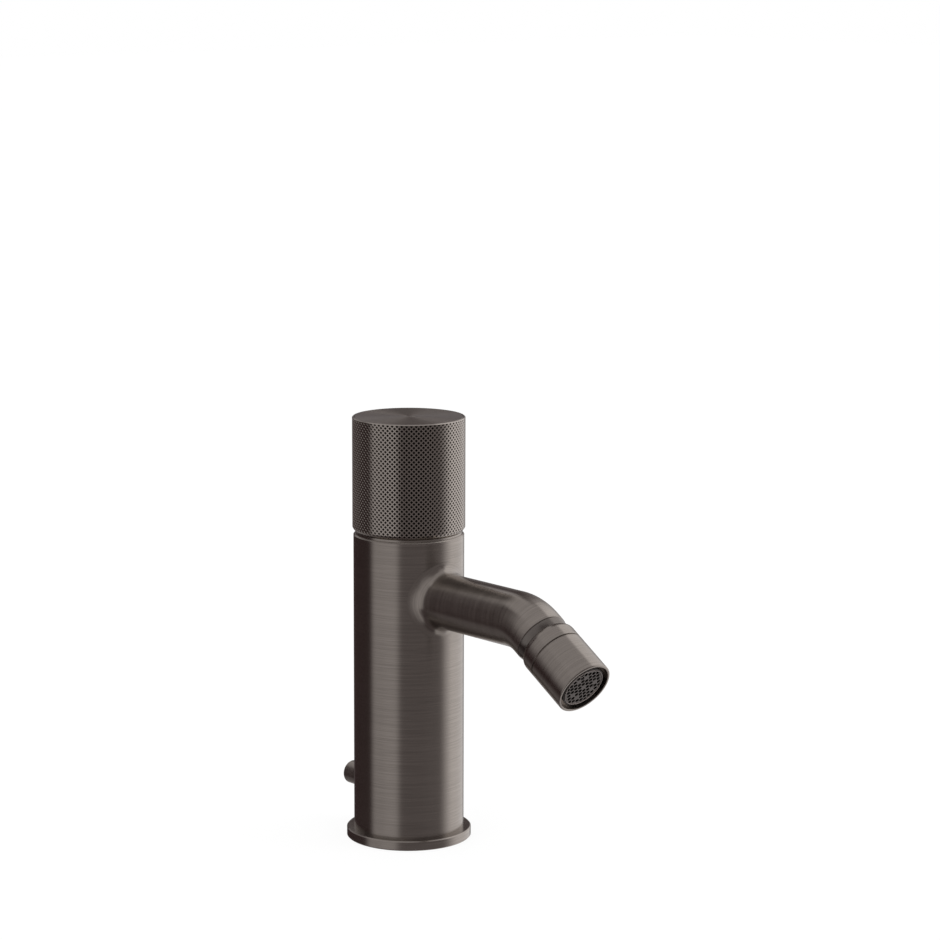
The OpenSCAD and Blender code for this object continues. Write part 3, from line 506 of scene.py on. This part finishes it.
socket = {"dome": 11.2, "from": 1.1, "stub": 9.9, "back": -6.1, "ball": 7.28, "cage": 8.3,
          "cageBack": -1.5, "mouthLow": 5.023, "mouthSlope": 0.2518, "gap": 0.1, "edge": 0.2,
          "domeSteps": 24, "ballSteps": 12, "around": 160}
domeFrom = socket["from"] + socket["gap"]
domeTop = math.degrees(math.asin((domeFrom + socket["edge"]) / socket["dome"]))


def meetSphere(radius):
    # where the mouth's cone meets a sphere round the ball's centre
    m, c = socket["mouthSlope"], socket["mouthLow"]
    w = (-m * c + math.sqrt(radius ** 2 * (1 + m * m) - c * c)) / (1 + m * m)
    return c + m * w, w


outerMouth, innerMouth = meetSphere(socket["dome"]), meetSphere(socket["ball"])
outerAngle = math.degrees(math.atan2(outerMouth[1], outerMouth[0]))
innerAngle = math.degrees(math.atan2(innerMouth[1], innerMouth[0]))
# the dome's darker bronze is painted shade
socketPiece = turned("swivel_dome", [
    (socket["stub"], socket["back"]), (socket["stub"], domeFrom), (socket["dome"] - socket["edge"], domeFrom),
    *arc((0, 0), socket["dome"], domeTop, outerAngle, socket["domeSteps"]),
    *arc((0, 0), socket["ball"], innerAngle, 0, socket["ballSteps"]),
    (socket["ball"], socket["cageBack"]), (socket["cage"], socket["cageBack"]),
    (socket["cage"], socket["back"])], socket["around"], domeShadedBronze, headPlace)
settle(socketPiece, "mixer_body", "brushed_bronze", "swivel_socket")

head = {"radius": 11.87, "lip": 4.5, "lipIn": 1.07, "shoulder": 3.45, "capEnd": 11.55, "groove": 0.5,
        "threadRadius": 10.6, "threadEnd": 18.5, "bore": 8.8, "floor": 15.5, "stemHole": 4.65,
        "cavity": 11.9, "cavityFrom": 5.14, "lipSphere": 11.3, "edge": 0.12, "roundSteps": 14,
        "lipSteps": 3, "around": 160}
shoulderAt = head["lip"] + math.sqrt(head["shoulder"] ** 2 - (head["shoulder"] - head["lipIn"]) ** 2)
firstAngle = -math.degrees(math.asin((shoulderAt - head["lip"]) / head["shoulder"]))
grooveEnd = head["capEnd"] + head["groove"]
cavityAngles = [math.degrees(math.acos(head["stemHole"] / head["cavity"])),
                math.degrees(math.asin(head["cavityFrom"] / head["cavity"]))]
lipAngles = [math.degrees(math.asin(w / head["lipSphere"])) for w in (head["cavityFrom"], head["lip"])]
ringPiece = turned("upper_ring", [
    *arc((head["radius"] - head["shoulder"], shoulderAt), head["shoulder"], firstAngle, 0,
         head["roundSteps"]),
    (head["radius"], head["capEnd"] - head["edge"]), (head["radius"] - head["edge"], head["capEnd"]),
    (head["radius"] - head["groove"], head["capEnd"]), (head["radius"] - head["groove"], grooveEnd),
    (head["threadRadius"], grooveEnd), (head["threadRadius"], head["threadEnd"]),
    (head["bore"], head["threadEnd"]), (head["bore"], head["floor"]), (head["stemHole"], head["floor"]),
    *arc((0, 0), head["cavity"], *cavityAngles, head["roundSteps"]),
    *arc((0, 0), head["lipSphere"], *lipAngles, head["lipSteps"])], head["around"], bronze, headPlace)
settle(ringPiece, "swivel_head", "brushed_bronze", "swivel_cap")

sleeve = {"from": 12.05, "to": 30.5, "round": 0.5, "recess": 10.8, "recessDepth": 3.5, "bore": 9.35,
          "thread": 10.65, "threadEnd": 18.6, "edge": 0.12, "innerEdge": 0.15, "roundSteps": 8,
          "around": 160}
recessEnd = sleeve["to"] - sleeve["recessDepth"]
sleevePiece = turned("sleeve", [
    (sleeve["thread"], sleeve["from"]), (head["radius"] - sleeve["edge"], sleeve["from"]),
    (head["radius"], sleeve["from"] + sleeve["edge"]),
    *arc((head["radius"] - sleeve["round"], sleeve["to"] - sleeve["round"]), sleeve["round"], 0, 90,
         sleeve["roundSteps"]),
    (sleeve["recess"] + sleeve["innerEdge"], sleeve["to"]),
    (sleeve["recess"], sleeve["to"] - sleeve["innerEdge"]), (sleeve["recess"], recessEnd),
    (sleeve["bore"], recessEnd), (sleeve["bore"], sleeve["threadEnd"]),
    (sleeve["thread"], sleeve["threadEnd"])], sleeve["around"], bronze, headPlace)
settle(sleevePiece, "swivel_head", "brushed_bronze", "aerator_sleeve")

# The rim's shoulder is painted darker as shade, and its lip lighter as a painted highlight.
insert = {"radius": 9.3, "bore": 8.35, "from": 20.0, "to": 30.0, "edge": 0.2, "lip": 0.2,
          "shoulder": 29.6, "paintedLight": (29.6, 29.95, 0.35, 2.4), "lipSteps": 8, "around": 128}
insertPiece = turned("aerator_rim", [
    (insert["bore"], insert["from"]), (insert["radius"], insert["from"]),
    (insert["radius"], insert["shoulder"] - insert["edge"]),
    (insert["radius"] - insert["edge"], insert["shoulder"]),
    (insert["bore"] + 2 * insert["lip"], insert["shoulder"]),
    *arc((insert["bore"] + insert["lip"], insert["to"] - insert["lip"]), insert["lip"], 0, 180,
         insert["lipSteps"])],
    insert["around"], innerMaterial("nylon rim, painted shade and highlight", innerStuffs["dark_nylon"], insert["paintedLight"]), headPlace)
cutAway(insertPiece, [])
settle(insertPiece, "swivel_head", "dark_nylon", "aerator_insert")

# The comb's cell walls darken down into the holes: painted shade.
comb = {"radius": 8.3, "top": 29.8, "thick": 1.5, "pitch": 1.98, "web": 0.46, "rings": 4, "edge": 0.06,
        "past": 1, "paintedLight": (29.45, 29.75, 0.06, 1.0), "around": 128}
slant = math.cos(math.radians(30))  # a hexagon's half width as a share of its radius


def combCutter():
    # one hexagonal prism for each open cell, flared at the face
    cell = (comb["pitch"] - comb["web"]) / 2 / slant
    sections = [(comb["top"] - comb["thick"] - comb["past"], cell), (comb["top"] - comb["edge"], cell),
                (comb["top"] + comb["past"], cell + comb["edge"] + comb["past"])]
    points, faces, count = [], [], comb["rings"]
    for i in range(-count, count + 1):
        for j in range(-count, count + 1):
            # the middle cell is blind, and so are six round it, one in each sixth of the plate
            blind = i * i + i * j + j * j == 7 and (i - j) * (i + 2 * j) * (2 * i + j) > 0
            if abs(i + j) > count or blind or (i == 0 and j == 0):
                continue
            x, y = comb["pitch"] * (i + j / 2), comb["pitch"] * j * slant
            first = len(points)
            for z, radius in sections:
                for n in range(6):
                    turn = math.radians(30 + 60 * n)
                    points.append((x + radius * math.cos(turn), y + radius * math.sin(turn), z))
            for row in (first, first + 6):
                faces += [[row + n, row + (n + 1) % 6, row + 6 + (n + 1) % 6, row + 6 + n] for n in range(6)]
            faces += [[first + n for n in range(6)], [first + 12 + n for n in range(6)]]
    return meshPiece("cutter", points, faces, None, bronze, headPlace)


combPiece = turned("honeycomb", [
    (0, comb["top"] - comb["thick"]), (comb["radius"], comb["top"] - comb["thick"]),
    (comb["radius"], comb["top"] - comb["edge"]), (comb["radius"] - comb["edge"], comb["top"]),
    (0, comb["top"])],
    comb["around"], innerMaterial("nylon comb, painted shade", innerStuffs["dark_nylon"], comb["paintedLight"]), headPlace)
cutAway(combPiece, [combCutter()])
settle(combPiece, "swivel_head", "dark_nylon", "aerator_plate")
print("swivel head made")

# Knob: knurled sleeve and the disc in its top
knob = {"radius": 22.9, "foot": 22.0, "low": 127.8, "footHeight": 1.3, "top": 174.2, "bevel": 0.3,
        "rim": 22.1, "capDeep": 1.5, "bore": 20.4, "hub": 6.05, "web": 4.0, "slack": 0.01, "sharpFrom": 12,
        "starts": 74, "pitch": 1.905, "depth": 0.75, "ridge": 1 / 3, "perPitch": 6, "knurlFrom": 0.05,
        "knurlEnd": 173.85}


def knurlDepth(a, z, r):
    # two crossing sets of spirals leave a flat net; ridge is the share of the pitch that it keeps
    inKnurl = knob["low"] + knob["knurlFrom"] <= z <= knob["knurlEnd"]
    if r < knob["foot"] - knob["slack"] or not inKnurl:
        return 0.0
    u = knob["starts"] * a / (2 * math.pi)
    v = (z - knob["low"]) / knob["pitch"]
    first = abs((u + v) % 1.0 - 0.5) * 2  # 0 on a ridge and 1 at the bottom of a groove
    second = abs((u - v) % 1.0 - 0.5) * 2
    return knob["depth"] * max(min(first, second) - knob["ridge"], 0) / (1 - knob["ridge"])


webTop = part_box("knob_washer")[0].z / mm
capLow = knob["top"] - knob["capDeep"]
step = knob["pitch"] / knob["perPitch"]
sideRows = [knob["low"] + step * i for i in range(1, int((knob["knurlEnd"] - knob["low"]) / step))]


def sideRadius(z):
    # the sleeve narrows towards its foot
    narrowing = max(0, 1 - (z - knob["low"]) / knob["footHeight"])
    return knob["radius"] - (knob["radius"] - knob["foot"]) * narrowing


knobPiece = turned("knurled_knob", [
    (knob["bore"], knob["low"]), (knob["foot"], knob["low"]), *[(sideRadius(z), z) for z in sideRows],
    (knob["radius"], knob["knurlEnd"] + knob["slack"]), (knob["radius"], knob["top"] - knob["bevel"]),
    (knob["radius"] - knob["bevel"], knob["top"]), (knob["rim"], knob["top"]),
    (knob["rim"], capLow), (knob["bore"], capLow),
    (knob["bore"], webTop), (knob["hub"], webTop), (knob["hub"], webTop - knob["web"]),
    (knob["bore"], webTop - knob["web"])],
    knob["starts"] * knob["perPitch"], knurlPaintedLightBronze, None, knurlDepth, knob["sharpFrom"])
settle(knobPiece, "control_knob", "brushed_bronze", "knob_sleeve")

cap = {"radius": 22.0, "edge": 0.12, "skirt": (20.35, 18.35), "skirtHeight": 3.0,
       "rows": (2, 5, 9, 13, 17), "around": 192}
capPiece = turned("knob_disc", [
    (0, knob["top"]), *[(r, knob["top"]) for r in cap["rows"]],
    (cap["radius"] - cap["edge"], knob["top"]), (cap["radius"], knob["top"] - cap["edge"]),
    (cap["radius"], capLow), (cap["skirt"][0], capLow), (cap["skirt"][0], capLow - cap["skirtHeight"]),
    (cap["skirt"][1], capLow - cap["skirtHeight"]), (cap["skirt"][1], capLow), (0, capLow)],
    cap["around"], discBronze)
settle(capPiece, "control_knob", "brushed_bronze", "knob_cap")

# Pull knob of the lift rod, in a frame whose Z runs out behind the body
pull = {"radius": 4.8, "from": 26.5, "to": 38.0, "edge": 0.6, "backEdge": 0.15, "neck": 2.5,
        "neckFrom": 15.0, "pin": 1.5, "pinFrom": 13.0, "height": 18.6, "around": 96}
pullPlace = Matrix.Translation((0, 0, pull["height"] * mm)) @ Matrix.Rotation(math.radians(-90), 4, "X")
pullPiece = turned("pull_knob", [
    (0, pull["pinFrom"]), (pull["pin"], pull["pinFrom"]), (pull["pin"], pull["neckFrom"]),
    (pull["neck"], pull["neckFrom"]), (pull["neck"], pull["from"]),
    (pull["radius"] - pull["backEdge"], pull["from"]), (pull["radius"], pull["from"] + pull["backEdge"]),
    (pull["radius"], pull["to"] - pull["edge"]), (pull["radius"] - pull["edge"], pull["to"]),
    (0, pull["to"])], pull["around"], bronze, pullPlace)
settle(pullPiece, "waste_pull", "brushed_bronze", "drain_knob")
print("knob and pull knob made")

# Studio: white to the camera, bands of light and dark to the metal, an even light to the rest
studio = {
    "heading": -40.27, "warm": 0.017, "diffuse": 0.85, "sky": 0.46,
    # for five heights: degrees to the right of the camera as seen from the tap, and the level there
    "below": [(-180, 0.20), (-150, 0.14), (-110, 0.12), (-80, 0.08), (40, 0.10), (65, 0.60), (95, 0.50),
              (150, 0.35), (180, 0.20)],
    "ground": [(-180, 0.90), (-168, 0.60), (-150, 0.24), (-105, 0.15), (-92, 0.06), (-60, 0.05), (-50, 0.42),
               (-28, 0.40), (-10, 0.14), (66, 0.17), (88, 0.50), (125, 0.80), (165, 0.85), (180, 0.90)],
    "low": [(-180, 0.20), (-170, 0.12), (-158, 0.03), (-90, 0.03), (-73, 0.46), (-29, 0.46),
            (-13, 0.145), (20, 0.15), (66, 0.17), (105, 0.93), (150, 0.93), (163, 0.35), (176, 0.20)],
    "middle": [(-180, 0.05), (-175, 0.07), (-171, 0.46), (-162, 0.50), (-146, 0.38), (-118, 0.22),
               (-104, 0.04), (-88, 0.06), (-76, 0.44), (-18, 0.40), (0, 0.26), (20, 0.16), (76, 0.16),
               (92, 0.92), (154, 0.95), (166, 0.13), (180, 0.05)],
    "high": [(-180, 0.08), (-174, 0.12), (-166, 0.52), (-140, 0.50), (-48, 0.46), (-20, 0.40),
             (15, 0.14), (45, 0.14), (70, 0.46), (90, 0.46), (101, 0.95), (154, 0.95), (164, 0.30),
             (180, 0.08)],
    # heights in degrees, between which one band gives way to the next
    "belowEdge": (-56, -46), "groundEdge": (-30, -20), "lowEdge": (8, 16), "middleEdge": (38, 46),
    "highEdge": (56, 64),
}
world = bpy.data.worlds.new("studio")
bpy.context.scene.world = world
world.use_nodes = True
sky = Sheet(world.node_tree)
ray = sky.node("ShaderNodeTexCoord", {}, out=0)
split = sky.node("ShaderNodeSeparateXYZ", {}, ray)
east, north, up = (sky.outlet(split, name) for name in ("X", "Y", "Z"))
heading = sky.node("ShaderNodeMath", {"operation": "ARCTAN2"}, east, 0.0 - north)
turn = heading / (2 * math.pi) - studio["heading"] / 360 + 0.5
share = sky.node("ShaderNodeMath", {"operation": "FRACT"}, turn + 1.0)


def bandsAt(level):
    stops = [(angle / 360 + 0.5, value) for angle, value in studio[level]]
    return sky.node("ShaderNodeValToRGB", {"stops": stops}, share)


def above(edge):
    limits = [math.sin(math.radians(angle)) for angle in studio[edge]]
    return sky.node("ShaderNodeMapRange", {"interpolation_type": "SMOOTHSTEP"}, up, *limits, 0.0, 1.0)


levels = sky.blendColour(above("groundEdge"), bandsAt("ground"), bandsAt("low"))
levels = sky.blendColour(above("lowEdge"), levels, bandsAt("middle"))
levels = sky.blendColour(above("middleEdge"), levels, bandsAt("high"))
levels = sky.blendColour(above("highEdge"), levels, (studio["sky"],) * 3)
levels = sky.blendColour(above("belowEdge"), bandsAt("below"), levels)
metalSees = sky.node("ShaderNodeVectorMath", {"operation": "ADD"}, levels, (studio["warm"], 0, 0))
path = sky.node("ShaderNodeLightPath", {})
camera, glossy, through = (sky.outlet(path, name)
                           for name in ("Is Camera Ray", "Is Glossy Ray", "Is Transmission Ray"))
shown = sky.blendColour((glossy + through).clamped(), (studio["diffuse"],) * 3, metalSees)
colour = sky.blendColour(camera, shown, (1.0, 1.0, 1.0))
sky.node("ShaderNodeOutputWorld", {}, Surface=sky.node("ShaderNodeBackground", {}, colour, 1.0))

# Floor: pale, with a glow that only the camera sees, and left out of the metal's reflections
floor = {"size": 6.0, "glow": 0.87, "paint": 0.16}
floorMesh = bpy.data.meshes.new("floor")
sheetFloor = bmesh.new()
bmesh.ops.create_grid(sheetFloor, x_segments=2, y_segments=2, size=floor["size"])
sheetFloor.to_mesh(floorMesh)
sheetFloor.free()
floorPiece = bpy.data.objects.new("floor", floorMesh)
bpy.context.scene.collection.objects.link(floorPiece)
floorPaint, paint = newMaterial("pale floor")
lit = paint.node("ShaderNodeLightPath", {})
matt = paint.node("ShaderNodeBsdfDiffuse", {}, Color=(floor["paint"],) * 3 + (1,))
glow = paint.node("ShaderNodeEmission", {}, Color=(1, 1, 1, 1), Strength=lit * floor["glow"])
finishMaterial(paint, paint.node("ShaderNodeAddShader", {}, matt, glow))
floorMesh.materials.append(floorPaint)
floorPiece.visible_glossy = False

# Two soft lamps that the metal doesn't mirror
lamps = {
    "lamp right": {"place": (0.9, -0.9, 1.2), "size": 1.0, "power": 4},
    "lamp left": {"place": (-1.3, -0.3, 1.0), "size": 1.2, "power": 3},
}
lampAim = Vector((0, 0, 0.08))
for name, lamp in lamps.items():
    data = bpy.data.lights.new(name, "AREA")
    data.shape = "DISK"
    data.size = lamp["size"]
    data.energy = lamp["power"]
    lampPiece = bpy.data.objects.new(name, data)
    lampPiece.location = lamp["place"]
    lampPiece.rotation_euler = (lampAim - Vector(lamp["place"])).to_track_quat("-Z", "Y").to_euler()
    lampPiece.visible_glossy = False
    bpy.context.scene.collection.objects.link(lampPiece)

# Camera: a pinhole fitted to the outline, with its focal length in pixels
view = {"place": (-0.81166, -0.99633, 0.37644), "heading": -40.2713, "down": 9.8966, "roll": 0.1663,
        "focal": 3225.11, "pixels": 940, "sensor": 36, "far": 20}
lens = bpy.data.cameras.new("camera")
lens.lens = view["focal"] / view["pixels"] * view["sensor"]
lens.sensor_width = view["sensor"]
lens.clip_end = view["far"]
eye = bpy.data.objects.new("camera", lens)
eye.rotation_mode = "XYZ"
eye.location = view["place"]
turnView = Matrix.Rotation(math.radians(view["heading"]), 4, "Z")
tilt = Matrix.Rotation(math.radians(90 - view["down"]), 4, "X")
rollView = Matrix.Rotation(math.radians(view["roll"]), 4, "Z")
eye.rotation_euler = (turnView @ tilt @ rollView).to_euler()
bpy.context.scene.collection.objects.link(eye)
bpy.context.scene.camera = eye
bpy.context.scene.view_settings.view_transform = "Standard"
print("studio and camera made")
